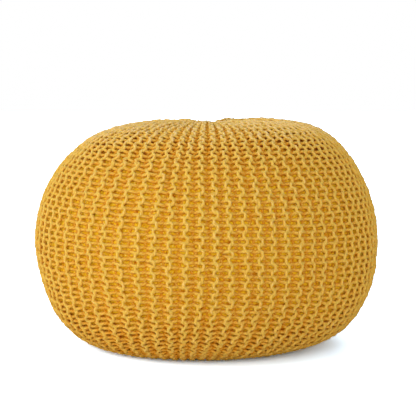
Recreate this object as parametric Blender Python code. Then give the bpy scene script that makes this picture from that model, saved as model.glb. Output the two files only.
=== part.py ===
"""A round knitted pouf: one filled cushion in a ribbed cover.

The cover's ribs run from the base up to the crown.  Both ends are drawn in, where the ribs bunch
together into pleats round a shallow dimple, and the cover's seam leaves a soft crease across the
back of the crown.  The pouf stands on a flat round patch.

Metres, +Z up.  The origin is the middle of the footprint, on the surface that carries the pouf.
A bearing is an angle round the pouf from its front (-Y), growing towards its right (+X).
"""

from collections import namedtuple

import bmesh
import bpy
import numpy as np

DIAMETER = 0.508
HEIGHT = 0.336

RIBS = 76
RIB_DEPTH = 0.0045
PLEAT_DEPTH = 0.0050
PRESSED_BELOW = 0.012  # height over which the ribs are pressed flat by the pouf's weight
TWIST_BELOW = 0.44  # share of the outline under which the ribs lean
TWIST = -0.20  # radians that the ribs have leaned by at the middle of the base

SEAM_BEARING = 3.12
SEAM_DEPTH = 0.006
SEAM_HALF_WIDTH = 0.015
SEAM_REACH = 0.17  # distance from the middle of the crown at which the crease has gone

# The outline of the rib crests, from the middle of the base to the middle of the crown, as shares
# of half the diameter and of the height.
Station = namedtuple("Station", "radius height")
OUTLINE = [
    Station(0.000, 0.034),
    Station(0.050, 0.022),
    Station(0.130, 0.000),
    Station(0.450, 0.000),
    Station(0.592, 0.006),
    Station(0.752, 0.048),
    Station(0.873, 0.130),
    Station(0.950, 0.245),
    Station(0.992, 0.373),
    Station(1.000, 0.504),
    Station(0.970, 0.634),
    Station(0.905, 0.754),
    Station(0.809, 0.857),
    Station(0.689, 0.934),
    Station(0.540, 0.981),
    Station(0.385, 0.998),
    Station(0.240, 1.000),
    Station(0.118, 0.985),
    Station(0.040, 0.960),
    Station(0.000, 0.950),
]

# Soft unevenness of the filling: waves round the pouf, the bearing of a crest, the share of the
# outline where it is strongest, how far along the outline it spreads, and its size.
Lump = namedtuple("Lump", "waves bearing along spread size")
LUMPS = [
    Lump(1, 1.57, 0.76, 0.11, 0.0048),
    Lump(1, -1.57, 0.19, 0.07, 0.0060),
    Lump(2, 0.40, 0.42, 0.20, 0.0010),
    Lump(3, 2.10, 0.60, 0.22, 0.0012),
    Lump(5, 0.90, 0.48, 0.25, 0.0008),
]

# The rings of points that the cover is built on: where they start along the outline, how many
# rings follow at even steps, and how many points each has.  The points halve twice towards each
# end, as neighbouring ribs fold together.
Zone = namedtuple("Zone", "start rings points")
ZONES = [
    Zone(0.022, 1, RIBS // 2),
    Zone(0.053, 1, RIBS // 2),
    Zone(0.105, 1, RIBS // 2),
    Zone(0.122, 1, RIBS),
    Zone(0.143, 29, 2 * RIBS),
    Zone(0.905, 2, RIBS),
    Zone(0.948, 2, RIBS // 2),
]
OUTLINE_END = 0.985

COVER_COLOUR = (0.72, 0.40, 0.05, 1.0)
COVER_ROUGHNESS = 0.9


def smooth(at, knots, values):
    """A smooth curve through values at knots, read at the places in at."""
    slopes = np.gradient(values, knots)
    left = np.clip(np.searchsorted(knots, at) - 1, 0, len(knots) - 2)
    span = knots[left + 1] - knots[left]
    t = (at - knots[left]) / span
    start = (1 + 2 * t) * (1 - t) ** 2 * values[left] + t * (1 - t) ** 2 * span * slopes[left]
    end = t * t * (3 - 2 * t) * values[left + 1] + t * t * (t - 1) * span * slopes[left + 1]
    return start + end


def fade(value, zero, one):
    """0 at zero, 1 at one and beyond, with soft ends."""
    t = np.clip((value - zero) / (one - zero), 0, 1)
    return t * t * (3 - 2 * t)


def outline(along):
    """Radius, height and outward normal of the crests, at shares of the outline's length."""
    radii = np.array([row.radius for row in OUTLINE]) * DIAMETER / 2
    heights = np.array([row.height for row in OUTLINE]) * HEIGHT
    steps = np.hypot(np.diff(radii), np.diff(heights))
    knots = np.concatenate([[0], np.cumsum(steps)]) / steps.sum()
    radius = smooth(along, knots, radii)
    height = np.maximum(smooth(along, knots, heights), 0)
    nudge = 0.002
    across = smooth(along + nudge, knots, radii) - smooth(along - nudge, knots, radii)
    up = smooth(along + nudge, knots, heights) - smooth(along - nudge, knots, heights)
    length = np.hypot(across, up)
    return radius, height, up / length, -across / length


def swell(along, bearing):
    """How far the filling pushes the cover out or lets it sink, apart from ribs and pleats."""
    out = sum(
        lump.size * np.cos(lump.waves * (bearing - lump.bearing))
        * np.exp(-(((along - lump.along) / lump.spread) ** 2))
        for lump in LUMPS
    )
    radius, height, _, _ = outline(along)
    aside = radius * np.sin(bearing - SEAM_BEARING)
    behind = np.cos(bearing - SEAM_BEARING) > 0
    on_crown = fade(height, 0.8 * HEIGHT, 0.9 * HEIGHT) * fade(radius, SEAM_REACH, SEAM_REACH / 2)
    crease = SEAM_DEPTH * np.exp(-((aside / SEAM_HALF_WIDTH) ** 2)) * behind * on_crown
    return out * fade(height, 0, PRESSED_BELOW) - crease


def fold_depth(points, along, column):
    """How deep a point lies below the crests: every second one is a valley."""
    valley = column % 2
    if points == 2 * RIBS:
        return valley * RIB_DEPTH
    uneven = 0.75 + 0.25 * np.sin(1.7 * column + 40 * along)
    return valley * PLEAT_DEPTH * uneven


def ring(along, points):
    """Points of one ring of the cover."""
    column = np.arange(points)
    lean = TWIST * fade(along, TWIST_BELOW, 0)
    bearing = 2 * np.pi * column / points + lean
    radius, height, normal_out, normal_up = outline(np.full(points, along))
    pressed = fade(height, 0, PRESSED_BELOW)
    move = swell(np.full(points, along), bearing) - fold_depth(points, along, column) * pressed
    radius = radius + move * normal_out
    height = np.maximum(height + move * normal_up, 0)
    return np.column_stack([radius * np.sin(bearing), -radius * np.cos(bearing), height])


def cover_rings():
    """All rings from the base to the crown."""
    ends = [zone.start for zone in ZONES[1:]] + [OUTLINE_END]
    rings = []
    for zone, end in zip(ZONES, ends):
        for k in range(zone.rings):
            along = zone.start + (end - zone.start) * k / zone.rings
            rings.append(ring(along, zone.points))
    return rings


def middle(along):
    """The point in the middle of the base (0) or of the crown (1)."""
    _, height, _, _ = outline(np.array([along]))
    return np.array([[0.0, 0.0, height[0]]])


def fit_to_size(rings):
    """Centre the footprint on the origin and bring the pouf to its stated size."""
    every = np.concatenate(rings)
    low = every.min(axis=0)
    high = every.max(axis=0)
    centre = np.array([(low[0] + high[0]) / 2, (low[1] + high[1]) / 2, 0])
    wide = DIAMETER / (high[0] - low[0])
    tall = HEIGHT / high[2]
    return [(points - centre) * (wide, wide, tall) for points in rings]


def join_rings(bm, lower, upper):
    """Faces between two rings with the same number of points, or with twice as many on one."""
    for k in range(min(len(lower), len(upper))):
        if len(lower) == len(upper):
            after = (k + 1) % len(lower)
            bm.faces.new((lower[k], lower[after], upper[after]))
            bm.faces.new((lower[k], upper[after], upper[k]))
            continue
        many, few = (lower, upper) if len(lower) > len(upper) else (upper, lower)
        first, between, last = (many[(2 * k + step) % len(many)] for step in range(3))
        here, after = few[k], few[(k + 1) % len(few)]
        for corners in ((first, between, here), (between, after, here), (between, last, after)):
            bm.faces.new(corners if many is lower else corners[::-1])


def close_end(bm, points, tip):
    """A fan of faces from a ring to the point in its middle."""
    for k, point in enumerate(points):
        bm.faces.new((point, points[(k + 1) % len(points)], tip))


def cover_material():
    material = bpy.data.materials.new("yellow_knit")
    material.use_nodes = True
    shader = material.node_tree.nodes["Principled BSDF"]
    shader.inputs["Base Color"].default_value = COVER_COLOUR
    shader.inputs["Roughness"].default_value = COVER_ROUGHNESS
    shader.inputs["Metallic"].default_value = 0.0
    return material


def knitted_pouf():
    """The filled cover as one closed solid."""
    levels = fit_to_size([middle(0.0)] + cover_rings() + [middle(1.0)])
    bm = bmesh.new()
    made = [[bm.verts.new(point) for point in level] for level in levels]
    close_end(bm, made[1][::-1], made[0][0])
    for lower, upper in zip(made[1:-1], made[2:-1]):
        join_rings(bm, lower, upper)
    close_end(bm, made[-2], made[-1][0])
    mesh = bpy.data.meshes.new("knitted_pouf")
    bm.to_mesh(mesh)
    bm.free()
    mesh.materials.append(cover_material())
    mesh.shade_smooth()
    pouf = bpy.data.objects.new("knitted_pouf", mesh)
    bpy.context.scene.collection.objects.link(pouf)
    return pouf


for thing in list(bpy.data.objects):
    bpy.data.objects.remove(thing)
knitted_pouf()
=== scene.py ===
"""Dresses the filled pouf in its hand-knitted cover and sets it on a studio floor.

The cover is garter stitch.  Every course of yarn runs from the gather under the base to the gather
on the crown, and its loops hook into the courses on both sides: two courses make one rib.  Loops
are laid out flat first, in courses and stitches, and then carried onto the pouf's own form.
Metres, +Z up.  A bearing is an angle round the pouf from its front (-Y) towards its right (+X).
"""

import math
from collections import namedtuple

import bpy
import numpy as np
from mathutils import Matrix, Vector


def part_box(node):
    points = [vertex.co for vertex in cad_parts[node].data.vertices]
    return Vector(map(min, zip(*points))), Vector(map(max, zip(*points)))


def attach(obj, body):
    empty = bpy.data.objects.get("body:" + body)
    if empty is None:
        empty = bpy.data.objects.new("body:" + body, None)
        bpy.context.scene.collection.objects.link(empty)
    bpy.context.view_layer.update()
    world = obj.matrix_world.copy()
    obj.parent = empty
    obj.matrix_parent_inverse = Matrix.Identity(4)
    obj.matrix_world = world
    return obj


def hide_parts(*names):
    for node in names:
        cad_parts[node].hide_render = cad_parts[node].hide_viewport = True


bl_info = {
    "name": "Knitted Pouf",
    "version": (1, 0, 0),
    "blender": (4, 5, 0),
    "location": "3D Viewport > Sidebar > Pouf",
    "description": "Knits a garter-stitch cover round a filled pouf and sets the stage",
    "category": "Object",
}

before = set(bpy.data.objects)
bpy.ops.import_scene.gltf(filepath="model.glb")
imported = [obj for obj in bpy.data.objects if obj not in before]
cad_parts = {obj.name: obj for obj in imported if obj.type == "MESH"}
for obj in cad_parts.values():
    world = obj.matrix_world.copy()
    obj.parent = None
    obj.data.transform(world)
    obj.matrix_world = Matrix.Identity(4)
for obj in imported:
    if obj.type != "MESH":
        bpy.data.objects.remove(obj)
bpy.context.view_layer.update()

SOLID = "knitted_pouf"
BOX_LOW, BOX_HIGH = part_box(SOLID)
DIAMETER = BOX_HIGH.x - BOX_LOW.x
HEIGHT = BOX_HIGH.z

# The outline of the rib crests, from the middle of the base to the middle of the crown, as shares
# of half the diameter and of the height.
Station = namedtuple("Station", "radius height")
OUTLINE = [
    Station(0.000, 0.034),
    Station(0.050, 0.022),
    Station(0.130, 0.000),
    Station(0.450, 0.000),
    Station(0.592, 0.006),
    Station(0.752, 0.048),
    Station(0.873, 0.130),
    Station(0.950, 0.245),
    Station(0.992, 0.373),
    Station(1.000, 0.504),
    Station(0.970, 0.634),
    Station(0.905, 0.754),
    Station(0.809, 0.857),
    Station(0.689, 0.934),
    Station(0.540, 0.981),
    Station(0.385, 0.998),
    Station(0.240, 1.000),
    Station(0.118, 0.985),
    Station(0.040, 0.960),
    Station(0.000, 0.950),
]

# Soft unevenness of the filling: waves round the pouf, the bearing of a crest, the share of the
# outline where it is strongest, how far along the outline it spreads, and its size.
Lump = namedtuple("Lump", "waves bearing along spread size")
LUMPS = [
    Lump(1, 1.57, 0.76, 0.11, 0.0048),
    Lump(1, -1.57, 0.19, 0.07, 0.0060),
    Lump(2, 0.40, 0.42, 0.20, 0.0010),
    Lump(3, 2.10, 0.60, 0.22, 0.0012),
    Lump(5, 0.90, 0.48, 0.25, 0.0008),
]
PRESSED_BELOW = 0.012  # height over which the pouf's weight presses the cover flat

# The crease of the seam, which runs back from the gather on the crown.
SEAM_BEARING = 3.12
SEAM_DEPTH = 0.006
SEAM_HALF_WIDTH = 0.015
SEAM_REACH = 0.17  # how far it runs from the middle of the crown, fading over the outer half
SEAM_STARTS, SEAM_FULL = 0.8, 0.9  # shares of the height between which it deepens

TWIST_BELOW = 0.44  # share of the outline under which the ribs lean
TWIST = -0.20  # radians that the ribs have leaned by at the middle of the base

# Folds in which the ribs bunch as the gathers take them in: waves round the pouf, their depth, the
# distances from the middle at which they start and are full, and the share of the depth in front.
Pleat = namedtuple("Pleat", "waves depth starts full front")
PLEATS = [
    Pleat(38, 0.0024, 0.140, 0.080, 0.0),
    Pleat(19, 0.0030, 0.080, 0.030, 0.6),
    Pleat(9, 0.0034, 0.045, 0.016, 1.0),
]
PLEATED = (0.5, 1.5)  # radians from the front between which the folds grow to their depth

# Slight folds and swellings of the knitting itself, told like the lumps of the filling.
FOLDS = [
    Lump(0, 0.00, 0.54, 0.16, 0.0011),
    Lump(0, 0.00, 0.76, 0.04, 0.0010),
    Lump(1, 1.57, 0.41, 0.05, 0.0015),
    Lump(1, -1.57, 0.22, 0.08, 0.0010),
    Lump(9, -2.10, 0.87, 0.07, 0.0008),
    Lump(23, 2.99, 0.87, 0.07, 0.0009),
]

GATHER_START, GATHER_END = 0.012, 0.997  # shares of the outline between which the knitting lies
GATHER_TUCK = 0.016  # how deep the ends of the knitting are drawn in
TUCK_START, TUCK_END = 0.030, 0.025  # shares of the outline over which they are, below and on top

# Half a stitch of yarn, from a sinker to a head: the place across the course, how far beyond that
# in yarn diameters, the place along it in stitches, the lift in yarn diameters and the girth.  On a
# rib the yarn leaves its sinker over the leg of the course before and dives under that one's head.
Bend = namedtuple("Bend", "across beyond along lift girth")
HALF_STITCH = [
    Bend(-0.5, -0.48, 0.140, 0.21, 0.92),
    Bend(-0.5, 0.00, 0.305, 0.05, 0.92),
    Bend(-0.5, 0.44, 0.285, -0.16, 1.02),
    Bend(0.5, -0.44, 0.225, 0.16, 1.02),
    Bend(0.5, 0.00, 0.195, -0.05, 0.92),
    Bend(0.5, 0.48, 0.330, -0.21, 0.92),
]

# Ribs are spaced wider at the pouf's front left: between these turns they gain SPREAD radians.
SPREAD = 0.206
SPREAD_FROM, SPREAD_TO = -1.34, -0.38

# How ribs stray from their lines: by how many courses, in how many waves round the pouf, and by
# how many radians a wave drifts from one stitch to the next.
Meander = namedtuple("Meander", "size waves drift")
MEANDERS = [
    Meander(0.10, 7, 0.45),
    Meander(0.08, 20, -0.27),
]

# The waist of the pouf: shares of the outline between which it starts and between which it ends.
# Beyond it the yarn is drawn thinner, so that deep gaps show, and the ribs stand out less.
WAIST_STARTS = (0.20, 0.40)
WAIST_ENDS = (0.64, 0.82)
OUTER_GIRTH = 0.84
BASE_RELIEF = 0.60
CROWN_RELIEF = 0.80
THINNEST = 0.42  # share of its thickness that the yarn keeps where the ribs are drawn together
CREST_HEIGHT = 0.62  # how far the top of a rib lies over its yarn's middle, in yarn diameters

# How proud the yarn stands, which its painted shade follows: 0 in the depth of a stitch, 1 on a
# rib.
LOOP_REACH = 0.42  # how far loops rise and sink on their rib, in yarn diameters
BASE_SHADING = 1.5  # how much stronger the painted shade shows the depth of the stitches at the base
CROWN_SHADING = 1.25  # the same on the crown
SHADING_SINK = 0.3  # how much less proud the yarn counts where that is doubled, so that it takes more painted shade
UNDERSIDE_SHADING = 0.70  # how much prouder the top of the yarn counts than its underside, which takes painted shade
SHEEN_PAINT = 0.40  # how much prouder yarn on top counts, for a painted sheen, as a share of standing fully proud
SHEEN_PAINT_FACES = (0.6, 1.0)  # how far up the cover must face for that to start and to be full
SHEEN_PAINT_STARTS = (0.3, 0.9)  # how proud the yarn must stand for that

PANELS = 8
SIDES = 6  # of the yarn's tube
YARN_LENGTH = 40.0  # metres of yarn in a panel, or a little more
NUDGE = 0.002  # a small step in bearing or along the outline, from which slopes are found
SEED = 7
LOOSENESS = (0.4, 0.8, 0.4)  # how much a bend strays with the one before, alone and with the next
STRAY_CLIMB = 0.4  # how far a bend strays along its course, in stitches for a yarn diameter
STRAY_GIRTH = 0.6  # by what share its girth strays, for a yarn diameter

FILLING_SEGMENTS, FILLING_RINGS = 152, 72
FILLING_BELOW, FILLING_ABOVE = 0.8, 0.6  # stitches by which it runs on under the gathers
FILLING_SINK = 0.34  # how far the filling lies under the middle of the legs, in yarn diameters
FILLING_DEEP = 1.35  # the same at the base and on the crown, where the stitches are drawn together
FILLING_EASE = 0.24  # how much less it rises under a rib than the loops do, in yarn diameters
FILLING_PROUD = 0.9  # how proud the filling counts round the waist; towards the base and the crown it takes painted shade


class CoverSettings(bpy.types.PropertyGroup):
    """Sizes of the knitting."""

    ribs: bpy.props.IntProperty(
        name="Ribs", description="Ribs round the pouf, each of two courses", default=76, min=8
    )
    stitches: bpy.props.IntProperty(
        name="Stitches", description="Stitches in a course, from base to crown", default=41, min=8
    )
    yarn: bpy.props.FloatProperty(
        name="Yarn", description="Diameter of the yarn", default=0.0050, unit="LENGTH"
    )
    relief: bpy.props.FloatProperty(
        name="Relief",
        description="How far the ribs stand out from the middle of the cover",
        default=0.0023,
        unit="LENGTH",
    )
    row_drop: bpy.props.FloatProperty(
        name="Row drop",
        description="How far the rows of stitches sink towards the pouf's right, in stitches",
        default=0.5,
    )
    uneven: bpy.props.FloatProperty(
        name="Unevenness",
        description="How far a stitch strays from its place",
        default=0.0003,
        unit="LENGTH",
    )


class LookSettings(bpy.types.PropertyGroup):
    """Colours of the yarn."""

    yarn_colour: bpy.props.FloatVectorProperty(
        name="Yarn", description="Colour of the yarn", default=(0.78, 0.50, 0.090), subtype="COLOR"
    )
    # Painted shade: the darker, redder colour of the yarn in the depth of the stitches, on its
    # undersides and in the grooves between its plies.
    shade_colour: bpy.props.FloatVectorProperty(
        name="Deep yarn",
        description="Colour between the plies and where the dye took best",
        default=(0.68, 0.25, 0.003),
        subtype="COLOR",
    )
    inner_colour: bpy.props.FloatVectorProperty(
        name="Inner cover",
        description="Colour of the cover under the knitting",
        default=(0.84, 0.52, 0.016),
        subtype="COLOR",
    )
    # Painted shade: the filling's colour in its deepest gaps, towards the base and the crown, and
    # at the rims of its small hollows.
    hollow_shade_colour: bpy.props.FloatVectorProperty(
        name="Hollows",
        description="Colour of the inner cover where the gaps are deepest",
        default=(0.45, 0.09, 0.003),
        subtype="COLOR",
    )
    # Painted sheen: a pale highlight on the proudest yarn, strongest on yarn that faces up on the
    # crown.
    sheen_colour: bpy.props.FloatVectorProperty(
        name="Worn yarn",
        description="Colour where the yarn is rubbed pale",
        default=(0.90, 0.65, 0.35),
        subtype="COLOR",
    )
    ply_length: bpy.props.FloatProperty(
        name="Ply", description="Length of one turn of the plies", default=0.016, unit="LENGTH"
    )


class StageSettings(bpy.types.PropertyGroup):
    """Floor, light and camera."""

    floor_colour: bpy.props.FloatVectorProperty(
        name="Floor", description="Colour of the floor", default=(0.60, 0.80, 1.0), subtype="COLOR"
    )
    bounce_colour: bpy.props.FloatVectorProperty(
        name="Bounce",
        description="Colour that the floor throws back on the pouf",
        default=(0.85, 0.72, 0.42),
        subtype="COLOR",
    )
    distance: bpy.props.FloatProperty(
        name="Distance", description="Camera to the middle of the pouf", default=2.2, unit="LENGTH"
    )
    elevation: bpy.props.FloatProperty(
        name="Elevation",
        description="How high the camera looks down from",
        default=math.radians(6),
        subtype="ANGLE",
    )


def smooth(at, knots, values):
    """A smooth curve through values at knots, read at the places in at."""
    slopes = np.gradient(values, knots)
    left = np.clip(np.searchsorted(knots, at) - 1, 0, len(knots) - 2)
    span = knots[left + 1] - knots[left]
    t = (at - knots[left]) / span
    start = (1 + 2 * t) * (1 - t) ** 2 * values[left] + t * (1 - t) ** 2 * span * slopes[left]
    end = t * t * (3 - 2 * t) * values[left + 1] + t * t * (t - 1) * span * slopes[left + 1]
    return start + end


def fade(value, zero, one):
    """0 at zero, 1 at one and beyond, with soft ends."""
    t = np.clip((value - zero) / (one - zero), 0, 1)
    return t * t * (3 - 2 * t)


def outline(along):
    """Radius and height of the rib crests at shares of the outline's length."""
    radii = np.array([row.radius for row in OUTLINE]) * DIAMETER / 2
    heights = np.array([row.height for row in OUTLINE]) * HEIGHT
    steps = np.hypot(np.diff(radii), np.diff(heights))
    knots = np.concatenate([[0], np.cumsum(steps)]) / steps.sum()
    return smooth(along, knots, radii), np.maximum(smooth(along, knots, heights), 0)


def rise_of(lumps, bearing, along):
    """How far lumps stand out, or lie below the even form, at a place on the pouf."""
    return sum(
        lump.size * np.cos(lump.waves * (bearing - lump.bearing))
        * np.exp(-(((along - lump.along) / lump.spread) ** 2))
        for lump in lumps
    )


def swell(bearing, along, radius, height):
    """How far the filling pushes the cover out or lets it sink."""
    out = rise_of(LUMPS, bearing, along)
    aside = radius * np.sin(bearing - SEAM_BEARING)
    behind = np.cos(bearing - SEAM_BEARING) > 0
    on_crown = fade(height, SEAM_STARTS * HEIGHT, SEAM_FULL * HEIGHT)
    on_crown = on_crown * fade(radius, SEAM_REACH, SEAM_REACH / 2)
    crease = SEAM_DEPTH * np.exp(-((aside / SEAM_HALF_WIDTH) ** 2)) * behind * on_crown
    return out * fade(height, 0, PRESSED_BELOW) - crease


def crest(bearing, along):
    """Points on the rib crests, before the pouf is brought to its size."""
    radius, height = outline(along)
    ahead, _ = outline(along + NUDGE)
    behind, low = outline(along - NUDGE)
    _, high = outline(along + NUDGE)
    length = np.hypot(ahead - behind, high - low)
    move = swell(bearing, along, radius, height)
    radius = radius + move * (high - low) / length
    height = np.maximum(height - move * (ahead - behind) / length, 0)
    return np.stack([radius * np.sin(bearing), -radius * np.cos(bearing), height], axis=-1)


def box_fit():
    """Scale and shift that bring the crests to the solid's box."""
    bearings = np.linspace(0, 2 * np.pi, 153)
    shares = np.linspace(0.02, 0.98, 200)
    every = crest(*np.meshgrid(bearings, shares)).reshape(-1, 3)
    low = every.min(axis=0)
    high = every.max(axis=0)
    scale = (np.array(BOX_HIGH) - np.array(BOX_LOW)) / (high - low)
    return scale, np.array(BOX_LOW) - low * scale


BOX_SCALE, BOX_SHIFT = box_fit()


def on_pouf(bearing, along, out):
    """Points that lie out metres outside the rib crests."""
    def place(turn, climb):
        return crest(bearing + turn, along + climb) * BOX_SCALE + BOX_SHIFT

    east = place(NUDGE, 0) - place(-NUDGE, 0)
    north = place(0, NUDGE) - place(0, -NUDGE)
    normal = np.cross(east, north)
    normal /= np.linalg.norm(normal, axis=-1, keepdims=True)
    return place(0, 0) + out[..., None] * normal


def bearing_of(turn):
    """The bearing at which the ribs lie that would be at turn if they were spaced evenly."""
    from_front = (turn + np.pi) % (2 * np.pi) - np.pi
    even = from_front * (1 - SPREAD / (2 * np.pi))
    return even + SPREAD * fade(from_front, SPREAD_FROM, SPREAD_TO)


def pleat_sink(rib, radius):
    """How deep the gathers have folded the cover, at a place counted in ribs."""
    turn = rib / bpy.context.scene.pouf_cover.ribs * 2 * np.pi
    aside = fade(np.arccos(np.cos(turn)), *PLEATED)
    return sum(
        (pleat.front + (1 - pleat.front) * aside) * fade(radius, pleat.starts, pleat.full)
        * pleat.depth * np.sin(pleat.waves * turn / 2) ** 2
        for pleat in PLEATS
    )


def shape_by_waist(along, base, crown):
    """1 round the pouf's waist, base under it and crown over it."""
    under = 1 - fade(along, *WAIST_STARTS)
    over = fade(along, *WAIST_ENDS)
    return 1 - (1 - base) * under - (1 - crown) * over


def yarn_share(along, radius):
    """The share of its full thickness that the yarn has at a place on the outline."""
    cover = bpy.context.scene.pouf_cover
    room = np.pi * radius / cover.ribs / cover.yarn
    share = THINNEST + (1 - THINNEST) * np.clip(room, 0, 1)
    return share * shape_by_waist(along, OUTER_GIRTH, OUTER_GIRTH)


def stray_of(turn, stitch):
    """How far a rib strays from its line, in courses."""
    return sum(
        meander.size * np.sin(meander.waves * turn + meander.drift * stitch)
        for meander in MEANDERS
    )


def lay(course, stitch, lift, beyond):
    """Carries the flat knitting onto the pouf.

    course and stitch are places in the flat knitting, beyond is a further step across it and lift
    a step out of it, both in yarn diameters.  Returns the points, the yarn's share of its full
    thickness there and how proud it stands, from 0 to 1.
    """
    cover = bpy.context.scene.pouf_cover
    turn = np.pi * course / cover.ribs
    row = stitch - cover.row_drop * np.sin(turn) * np.sin(np.pi * stitch / cover.stitches)
    along = GATHER_START + (GATHER_END - GATHER_START) * row / cover.stitches
    radius, _ = outline(along)
    thickness = yarn_share(along, radius)
    bearing = bearing_of(turn + np.pi * stray_of(turn, stitch) / cover.ribs)
    bearing = bearing + TWIST * fade(along, TWIST_BELOW, 0)
    bearing = bearing + beyond * thickness * cover.yarn / radius
    ends = fade(along, GATHER_END - TUCK_END, 1) + fade(along, GATHER_START + TUCK_START, 0)
    relief = cover.relief * shape_by_waist(along, BASE_RELIEF, CROWN_RELIEF) * thickness**2
    middle = rise_of(FOLDS, bearing, along) - relief - CREST_HEIGHT * thickness * cover.yarn
    height = relief * np.cos(np.pi * course) + lift * thickness * cover.yarn
    out = middle + height - pleat_sink(course / 2, radius) - GATHER_TUCK * ends
    # Painted shade: the depth of the stitches shows stronger in the colour at the base and on the
    # crown.
    depth = shape_by_waist(along, BASE_SHADING, CROWN_SHADING)
    reach = relief + LOOP_REACH * thickness * cover.yarn
    proud = 0.5 + 0.5 * depth * height / reach - SHADING_SINK * (depth - 1)
    return on_pouf(bearing, along, out), thickness, proud


def stitch_bends():
    """All the bends of one stitch, from a sinker over the head to the next sinker."""
    back = [bend._replace(along=1.0 - bend.along) for bend in reversed(HALF_STITCH)]
    return np.array(HALF_STITCH + back)


# The yarn of one course: its points, its shares of the full thickness, how proud each point stands
# from 0 to 1, and a step of one yarn diameter out of the cover.
Path = namedtuple("Path", "points thickness proud outward")


def course_path(course, strays):
    """The yarn of one course, from base to crown."""
    cover = bpy.context.scene.pouf_cover
    bends = stitch_bends()
    across, beyond, along, lift, girth = np.tile(bends, (cover.stitches, 1)).T
    stitch = np.repeat(np.arange(cover.stitches), len(bends)) + along
    on_rib = 1 if course % 2 == 0 else -1
    aside, climb, rise, swelling = strays.T
    lift = on_rib * lift + rise
    place = course + 0.5 + across
    stitch = stitch + climb * STRAY_CLIMB
    points, thickness, proud = lay(place, stitch, lift, beyond + aside)
    above, _, _ = lay(place, stitch, lift + 1, beyond + aside)
    girth = girth * (1 + STRAY_GIRTH * swelling)
    return Path(points, thickness * girth, proud, above - points)


def select_only(piece):
    """Selects a piece and nothing else, and makes it active."""
    bpy.ops.object.select_all(action="DESELECT")
    piece.select_set(True)
    bpy.context.view_layer.objects.active = piece


def hand_over(piece):
    """Ties a finished piece to the pouf's body and hides the solid."""
    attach(piece, "root")
    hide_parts(SOLID)


def wander(courses, cover):
    """How far each bend of each course strays aside, along, outwards and in girth."""
    chance = np.random.default_rng(SEED)
    size = cover.uneven / cover.yarn
    bends = len(stitch_bends())
    rough = chance.normal(0, size, (courses, cover.stitches * bends + 2, 4))
    loops = chance.normal(0, size, (courses, 2 * cover.stitches, 4))
    before, alone, after = LOOSENESS
    single = rough[:, :-2] * before + rough[:, 1:-1] * alone + rough[:, 2:] * after
    return single + np.repeat(loops, bends // 2, axis=1)


def yarn_curve(name, paths):
    """A round curve for each course of one panel."""
    curve = bpy.data.curves.new(name, "CURVE")
    curve.dimensions = "3D"
    curve.bevel_depth = bpy.context.scene.pouf_cover.yarn / 2
    curve.bevel_resolution = SIDES // 2 - 2
    for path in paths:
        count = len(path.points)
        spline = curve.splines.new("POLY")
        spline.points.add(count - 1)
        spline.points.foreach_set("co", np.column_stack([path.points, np.ones(count)]).ravel())
        spline.points.foreach_set("radius", path.thickness)
    return curve


def mark_yarn(mesh, paths, start):
    """Stores where each point would lie on the yarn pulled straight, and how proud it stands, which
    sets its painted shade and its painted sheen.
    """
    cover = bpy.context.scene.pouf_cover
    angle = np.arange(SIDES) * 2 * np.pi / SIDES
    ring = np.stack([np.cos(angle), np.sin(angle), np.zeros(SIDES)], axis=-1) * cover.yarn / 2
    straight = []
    for path in paths:
        steps = np.linalg.norm(np.diff(path.points, axis=0), axis=1)
        length = start + np.concatenate([[0], np.cumsum(steps)])
        start = length[-1]
        straight.append((ring + length[:, None, None] * np.array([0, 0, 1])).reshape(-1, 3))
    mesh.attributes.new("straight", "FLOAT_VECTOR", "POINT")
    mesh.attributes["straight"].data.foreach_set("vector", np.concatenate(straight).ravel())
    places = read_places(mesh).reshape(-1, SIDES, 3)
    points, _, proud, outward = (np.concatenate(part) for part in zip(*paths))
    outward = outward / np.linalg.norm(outward, axis=-1, keepdims=True)
    over = ((places - points[:, None]) * outward[:, None]).sum(axis=-1)
    # Painted shade on the yarn's undersides, a paler colour on its tops.
    proud = proud[:, None] + UNDERSIDE_SHADING * over / cover.yarn
    # Painted sheen on the tops of proud yarn that faces up.
    sheen_mask = SHEEN_PAINT * fade(outward[:, 2:], *SHEEN_PAINT_FACES) * fade(proud, *SHEEN_PAINT_STARTS)
    mark_proud(mesh, proud + sheen_mask)


def mark_proud(mesh, proud):
    """Stores how proud each point stands."""
    mesh.attributes.new("proud", "FLOAT", "POINT")
    mesh.attributes["proud"].data.foreach_set("value", proud.ravel())


def read_places(mesh):
    """The places of a mesh's vertices, one row each."""
    places = np.empty(3 * len(mesh.vertices))
    mesh.vertices.foreach_get("co", places)
    return places.reshape(-1, 3)


def press_on_floor(mesh):
    """Flattens what lies below the floor."""
    places = read_places(mesh)
    places[:, 2] = np.maximum(places[:, 2], 0)
    mesh.vertices.foreach_set("co", places.ravel())


def close_ends():
    """Closes the ends of the yarn tubes of the active piece."""
    bpy.ops.object.mode_set(mode="EDIT")
    bpy.ops.mesh.select_all(action="SELECT")
    bpy.ops.mesh.fill_holes(sides=SIDES)
    bpy.ops.mesh.normals_make_consistent(inside=False)
    bpy.ops.object.mode_set(mode="OBJECT")


class POUF_OT_knit_cover(bpy.types.Operator):
    """Knit the cover's panels of yarn"""

    bl_idname = "pouf.knit_cover"
    bl_label = "Knit Cover"

    def execute(self, context):
        cover = context.scene.pouf_cover
        courses = 2 * cover.ribs
        strays = wander(courses, cover)
        material = yarn_material(context.scene.pouf_look)
        for panel in range(PANELS):
            name = f"knit_panel_{panel + 1}"
            inside = range(panel * courses // PANELS, (panel + 1) * courses // PANELS)
            paths = [course_path(course, strays[course]) for course in inside]
            piece = bpy.data.objects.new(name, yarn_curve(name, paths))
            context.scene.collection.objects.link(piece)
            select_only(piece)
            bpy.ops.object.convert(target="MESH")
            piece = context.object
            mark_yarn(piece.data, paths, panel * YARN_LENGTH)
            press_on_floor(piece.data)
            close_ends()
            bpy.ops.object.shade_smooth()
            piece.data.materials.append(material)
            hand_over(piece)
        return {"FINISHED"}


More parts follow.
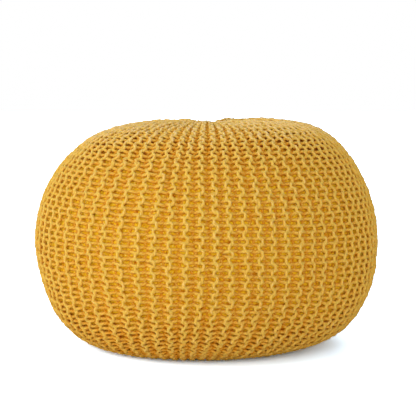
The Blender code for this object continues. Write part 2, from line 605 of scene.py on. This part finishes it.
class POUF_OT_add_filling(bpy.types.Operator):
    """Add the filled body that shows between the stitches"""

    bl_idname = "pouf.add_filling"
    bl_label = "Add Filling"

    def execute(self, context):
        cover = context.scene.pouf_cover
        bpy.ops.object.select_all(action="DESELECT")
        bpy.ops.mesh.primitive_uv_sphere_add(
            segments=FILLING_SEGMENTS, ring_count=FILLING_RINGS, radius=1
        )
        piece = context.object
        piece.name = "filled_body"
        x, y, z = read_places(piece.data).T
        course = np.arctan2(x, -y) / np.pi * cover.ribs
        climb = np.clip(1 - np.arccos(np.clip(z, -1, 1)) / np.pi, 0, 1)
        stitch = climb * (cover.stitches + FILLING_BELOW + FILLING_ABOVE) - FILLING_BELOW
        waist = shape_by_waist(climb, 0, 0)
        sink = FILLING_DEEP + (FILLING_SINK - FILLING_DEEP) * waist
        lift = -sink - FILLING_EASE * np.cos(np.pi * course)
        points, _, _ = lay(course, stitch, lift, np.zeros(len(x)))
        piece.data.vertices.foreach_set("co", points.ravel())
        press_on_floor(piece.data)
        # Painted shade: the filling is coloured darker towards the base and the crown.
        mark_proud(piece.data, FILLING_PROUD * waist)
        piece.data.update()
        bpy.ops.object.shade_smooth()
        piece.data.materials.append(filling_material(context.scene.pouf_look))
        hand_over(piece)
        return {"FINISHED"}


def new_material(name):
    """A new material and its shader."""
    material = bpy.data.materials.new(name)
    material.use_nodes = True
    return material, material.node_tree.nodes["Principled BSDF"]


def add_node(tree, kind, values=None, **settings):
    """Adds a node, sets its properties, and fills or links the inputs named in values."""
    node = tree.nodes.new(kind)
    for name, setting in settings.items():
        setattr(node, name, setting)
    for name, value in (values or {}).items():
        if isinstance(value, bpy.types.NodeSocket):
            tree.links.new(value, node.inputs[name])
        else:
            node.inputs[name].default_value = value
    return node


def calculate(tree, operation, *values):
    """The result of a Math node."""
    return add_node(tree, "ShaderNodeMath", dict(enumerate(values)), operation=operation).outputs[0]


def noise(tree, place, scale, detail=2.0):
    """Uneven values all over the surface."""
    values = {"Vector": place, "Scale": scale, "Detail": detail}
    return add_node(tree, "ShaderNodeTexNoise", values).outputs["Fac"]


def spread_between(tree, value, low, high):
    """0 where value is low, 1 where it is high."""
    values = {"Value": value, "From Min": low, "From Max": high}
    return add_node(tree, "ShaderNodeMapRange", values).outputs["Result"]


def mix_colours(tree, share, first, second):
    """The first colour, with a share of the second."""
    values = {"Factor": share, "A": first, "B": second}
    return add_node(tree, "ShaderNodeMix", values, data_type="RGBA").outputs["Result"]


UNSHADED_WHEN_PROUD = (0.15, 1.0)  # how proud cotton stands where it turns from painted shade to its own pale colour
SHEEN_WHEN_PROUD = (1.2, 1.9)  # the same for turning from pale to a painted sheen
BLOTCHES = 0.9  # how strongly blotches of uneven dye show
STREAKS = 1.0  # how strongly single fibres show
ROUGH_FROM, ROUGH_MORE = 0.72, 0.30  # the least roughness, and what the fibres add to it

# What all the cotton has alike: a faint sheen, hardly any gloss, and light that sinks in.
COTTON = {
    "Sheen Weight": 0.06,
    "Sheen Roughness": 0.30,
    "Sheen Tint": (1.0, 0.88, 0.66, 1.0),
    "Specular IOR Level": 0.04,
    "Subsurface Weight": 0.25,
    "Subsurface Radius": (1.0, 0.7, 0.25),
    "Subsurface Scale": 0.0025,
}
BUMP_STRENGTH = 0.6

# The grain of a cotton: how fine its blotches and its fibres are, and the depth of its relief.
Grain = namedtuple("Grain", "blotches fibres depth")
YARN_GRAIN = Grain(70.0, 420.0, 0.0006)
INNER_GRAIN = Grain(220.0, 500.0, 0.0012)
PLIES = 3
PLY_SHADING = 0.35  # how much prouder the top of a ply counts than the groove beside it, which takes painted shade
GROOVE_SHADING = 0.2  # how much less proud the grooved yarn counts, which deepens its painted shade
FIBRE_RELIEF = 0.5  # how deep the fibres are beside the plies
HOLLOWS = 260.0  # how fine the small hollows of the inner cover are
HOLLOWS_SHADING = 1.3  # how much their painted shade follows their depth


def dyed_shaded_cotton():
    """The node group for unevenly dyed cotton with painted shade where it lies low and a painted
    sheen where it stands proudest.
    """
    name = "Dyed Shaded Cotton"
    if name in bpy.data.node_groups:
        return bpy.data.node_groups[name]
    tree = bpy.data.node_groups.new(name, "ShaderNodeTree")
    for label, kind in (
        ("Place", "NodeSocketVector"),
        ("Proud", "NodeSocketFloat"),
        ("Pale", "NodeSocketColor"),
        ("Painted Shade", "NodeSocketColor"),
        ("Painted Sheen", "NodeSocketColor"),
        ("Blotch Scale", "NodeSocketFloat"),
        ("Fibre Scale", "NodeSocketFloat"),
    ):
        tree.interface.new_socket(label, in_out="INPUT", socket_type=kind)
    for label, kind in (
        ("Colour", "NodeSocketColor"),
        ("Roughness", "NodeSocketFloat"),
        ("Fibres", "NodeSocketFloat"),
    ):
        tree.interface.new_socket(label, in_out="OUTPUT", socket_type=kind)
    given = tree.nodes.new("NodeGroupInput").outputs
    blotches = noise(tree, given["Place"], given["Blotch Scale"])
    fibres = noise(tree, given["Place"], given["Fibre Scale"], detail=3.0)
    # Painted shade: the shade colour where the cotton lies low and its pale colour where it stands
    # proud, mixed with uneven dye and fibres.
    unshaded = spread_between(tree, given["Proud"], *UNSHADED_WHEN_PROUD)
    uneven = calculate(tree, "MULTIPLY_ADD", blotches, BLOTCHES, -BLOTCHES / 2)
    streaks = calculate(tree, "MULTIPLY_ADD", fibres, STREAKS, -STREAKS / 2)
    pale = calculate(tree, "ADD", unshaded, calculate(tree, "ADD", uneven, streaks))
    # Painted sheen on the proudest cotton.
    streaked = calculate(tree, "ADD", given["Proud"], streaks)
    highlighted = spread_between(tree, streaked, *SHEEN_WHEN_PROUD)
    colour = mix_colours(tree, pale, given["Painted Shade"], given["Pale"])
    add_node(
        tree,
        "NodeGroupOutput",
        {
            "Colour": mix_colours(tree, highlighted, colour, given["Painted Sheen"]),
            "Roughness": calculate(tree, "MULTIPLY_ADD", fibres, ROUGH_MORE, ROUGH_FROM),
            "Fibres": fibres,
        },
    )
    return tree


def cotton(tree, colours, place, proud, grain):
    """The dyed cotton group, placed in a material with its pale colour, its painted shade colour
    and its painted sheen colour.
    """
    node = tree.nodes.new("ShaderNodeGroup")
    node.node_tree = dyed_shaded_cotton()
    tree.links.new(place, node.inputs["Place"])
    tree.links.new(proud, node.inputs["Proud"])
    for label, colour in zip(("Pale", "Painted Shade", "Painted Sheen"), colours):
        node.inputs[label].default_value = (*colour, 1)
    node.inputs["Blotch Scale"].default_value = grain.blotches
    node.inputs["Fibre Scale"].default_value = grain.fibres
    return node.outputs


def finish_cotton(tree, shader, finish, height, grain):
    """Wires the colour, roughness and height of the dyed cotton, with its painted shade and sheen,
    to the shader.
    """
    values = {"Height": height, "Strength": BUMP_STRENGTH, "Distance": grain.depth}
    bump = add_node(tree, "ShaderNodeBump", values)
    tree.links.new(finish["Colour"], shader.inputs["Base Color"])
    tree.links.new(finish["Roughness"], shader.inputs["Roughness"])
    tree.links.new(bump.outputs["Normal"], shader.inputs["Normal"])
    for name, value in COTTON.items():
        shader.inputs[name].default_value = value


def yarn_material(look):
    """Cotton yarn of twisted plies."""
    material, shader = new_material("cotton_yarn")
    tree = material.node_tree
    straight = add_node(tree, "ShaderNodeAttribute", attribute_name="straight").outputs["Vector"]
    proud = add_node(tree, "ShaderNodeAttribute", attribute_name="proud").outputs["Fac"]
    parts = add_node(tree, "ShaderNodeSeparateXYZ", {"Vector": straight}).outputs
    angle = calculate(tree, "ARCTAN2", parts["Y"], parts["X"])
    turned = calculate(tree, "MULTIPLY_ADD", parts["Z"], 2 * math.pi / look.ply_length, angle)
    wave = calculate(tree, "SINE", calculate(tree, "MULTIPLY", turned, PLIES / 2))
    ply = calculate(tree, "ABSOLUTE", wave)
    # Painted shade in the grooves between the plies.
    groove = calculate(tree, "SUBTRACT", proud, GROOVE_SHADING)
    shaded = calculate(tree, "MULTIPLY_ADD", ply, PLY_SHADING, groove)
    colours = (look.yarn_colour, look.shade_colour, look.sheen_colour)
    finish = cotton(tree, colours, straight, shaded, YARN_GRAIN)
    height = calculate(tree, "MULTIPLY_ADD", finish["Fibres"], FIBRE_RELIEF, ply)
    finish_cotton(tree, shader, finish, height, YARN_GRAIN)
    return material


def filling_material(look):
    """The tight inner cover that shows through the stitches."""
    material, shader = new_material("inner_cotton")
    tree = material.node_tree
    place = add_node(tree, "ShaderNodeTexCoord").outputs["Object"]
    proud = add_node(tree, "ShaderNodeAttribute", attribute_name="proud").outputs["Fac"]
    pits = add_node(tree, "ShaderNodeTexVoronoi", {"Vector": place, "Scale": HOLLOWS})
    hollow = pits.outputs["Distance"]
    # Painted shade at the rims of the small hollows.
    shade = calculate(tree, "MULTIPLY_ADD", hollow, -HOLLOWS_SHADING, HOLLOWS_SHADING / 2)
    proud = calculate(tree, "ADD", proud, shade)
    colours = (look.inner_colour, look.hollow_shade_colour, look.sheen_colour)
    finish = cotton(tree, colours, place, proud, INNER_GRAIN)
    height = calculate(tree, "SUBTRACT", finish["Fibres"], hollow)
    finish_cotton(tree, shader, finish, height, INNER_GRAIN)
    return material


# Wide lights: the bearing each comes from and its height, in degrees, and its strength.
Light = namedtuple("Light", "name bearing elevation strength")
LIGHTS = [
    Light("key", -75, 12, 1.77),
    Light("front", 0, 4, 2.38),
    Light("back", 180, 45, 0.75),
]
LIGHT_WIDTH = math.radians(55)
WORLD_STRENGTH = 0.42  # how strongly the white studio lights the pouf
FLOOR_GLARE = 4.2  # how much brighter than its colour the camera sees the floor
FLOOR_SIZE = 30
FLOOR_GRAIN = 300.0  # how fine the paper's grain is
FLOOR_DARKEST = 0.97  # how bright it is where the grain is darkest, as a share of its colour
FLOOR_ROUGHNESS = 0.9


class POUF_OT_set_stage(bpy.types.Operator):
    """Set the floor, the light and the camera"""

    bl_idname = "pouf.set_stage"
    bl_label = "Set Stage"

    def execute(self, context):
        stage = context.scene.pouf_stage
        add_floor(stage)
        for light in LIGHTS:
            add_sun(light)
        set_world(WORLD_STRENGTH)
        context.scene.view_settings.view_transform = "Standard"
        add_camera(stage)
        return {"FINISHED"}


def add_floor(stage):
    """A wide sheet of pale paper."""
    bpy.ops.object.select_all(action="DESELECT")
    bpy.ops.mesh.primitive_plane_add(size=FLOOR_SIZE)
    floor = bpy.context.object
    floor.name = "studio_floor"
    material, shader = new_material("studio_paper")
    tree = material.node_tree
    place = add_node(tree, "ShaderNodeTexCoord").outputs["Object"]
    grain = noise(tree, place, FLOOR_GRAIN)
    light = (*stage.floor_colour, 1)
    dark = (*(FLOOR_DARKEST * level for level in stage.floor_colour), 1)
    shade = mix_colours(tree, grain, light, dark)
    seen = add_node(tree, "ShaderNodeLightPath").outputs["Is Camera Ray"]
    values = {0: shade, "Scale": FLOOR_GLARE}
    bright = add_node(tree, "ShaderNodeVectorMath", values, operation="SCALE").outputs["Vector"]
    colour = mix_colours(tree, seen, (*stage.bounce_colour, 1), bright)
    tree.links.new(colour, shader.inputs["Base Color"])
    shader.inputs["Roughness"].default_value = FLOOR_ROUGHNESS
    floor.data.materials.append(material)


def add_sun(light):
    """One of the wide, soft lights."""
    sun = bpy.data.lights.new(light.name, "SUN")
    sun.energy = light.strength
    sun.angle = LIGHT_WIDTH
    lamp = bpy.data.objects.new(light.name, sun)
    tip = math.radians(90 - light.elevation)
    lamp.rotation_euler = (tip, 0, math.radians(light.bearing))
    bpy.context.scene.collection.objects.link(lamp)


def set_world(strength):
    """A white studio that lights the pouf with strength and shows as plain white behind it."""
    world = bpy.data.worlds.new("studio_world")
    world.use_nodes = True
    tree = world.node_tree
    sky = tree.nodes["Background"]
    seen = add_node(tree, "ShaderNodeLightPath").outputs["Is Camera Ray"]
    sky.inputs["Color"].default_value = (1, 1, 1, 1)
    tree.links.new(calculate(tree, "MAXIMUM", seen, strength), sky.inputs["Strength"])
    bpy.context.scene.world = world


SENSOR = 36  # width of the camera's sensor, in millimetres
PICTURE = 416  # width and height of the picture, in pixels
FOCAL = 1473.5  # focal length in those pixels
MIDDLE_X, MIDDLE_Y = 206.2, 231.8  # where the middle of the pouf lies in the picture


def add_camera(stage):
    """The camera, which looks slightly down on the pouf from the front."""
    camera = bpy.data.cameras.new("camera")
    camera.sensor_width = SENSOR
    camera.lens = FOCAL / PICTURE * camera.sensor_width
    camera.shift_x = (PICTURE / 2 - MIDDLE_X) / PICTURE
    camera.shift_y = (MIDDLE_Y - PICTURE / 2) / PICTURE
    eye = bpy.data.objects.new("camera", camera)
    back = stage.distance * math.cos(stage.elevation)
    eye.location = (0, -back, HEIGHT / 2 + stage.distance * math.sin(stage.elevation))
    eye.rotation_euler = (math.pi / 2 - stage.elevation, 0, 0)
    bpy.context.scene.collection.objects.link(eye)
    bpy.context.scene.camera = eye


class POUF_PT_panel(bpy.types.Panel):
    """Tools that dress and stage the pouf"""

    bl_label = "Knitted Pouf"
    bl_space_type = "VIEW_3D"
    bl_region_type = "UI"
    bl_category = "Pouf"

    def draw(self, context):
        layout = self.layout
        for settings, operators in (
            (context.scene.pouf_cover, ("pouf.add_filling", "pouf.knit_cover")),
            (context.scene.pouf_look, ()),
            (context.scene.pouf_stage, ("pouf.set_stage",)),
        ):
            box = layout.box()
            for name in settings.bl_rna.properties.keys():
                if name not in {"rna_type", "name"}:
                    box.prop(settings, name)
            for operator in operators:
                box.operator(operator)


CLASSES = (
    CoverSettings,
    LookSettings,
    StageSettings,
    POUF_OT_add_filling,
    POUF_OT_knit_cover,
    POUF_OT_set_stage,
    POUF_PT_panel,
)


def register():
    for cls in CLASSES:
        bpy.utils.register_class(cls)
    bpy.types.Scene.pouf_cover = bpy.props.PointerProperty(type=CoverSettings)
    bpy.types.Scene.pouf_look = bpy.props.PointerProperty(type=LookSettings)
    bpy.types.Scene.pouf_stage = bpy.props.PointerProperty(type=StageSettings)


def unregister():
    del bpy.types.Scene.pouf_stage
    del bpy.types.Scene.pouf_look
    del bpy.types.Scene.pouf_cover
    for cls in reversed(CLASSES):
        bpy.utils.unregister_class(cls)


def main():
    register()
    bpy.ops.pouf.add_filling()
    bpy.ops.pouf.knit_cover()
    bpy.ops.pouf.set_stage()


if __name__ == "__main__":
    main()
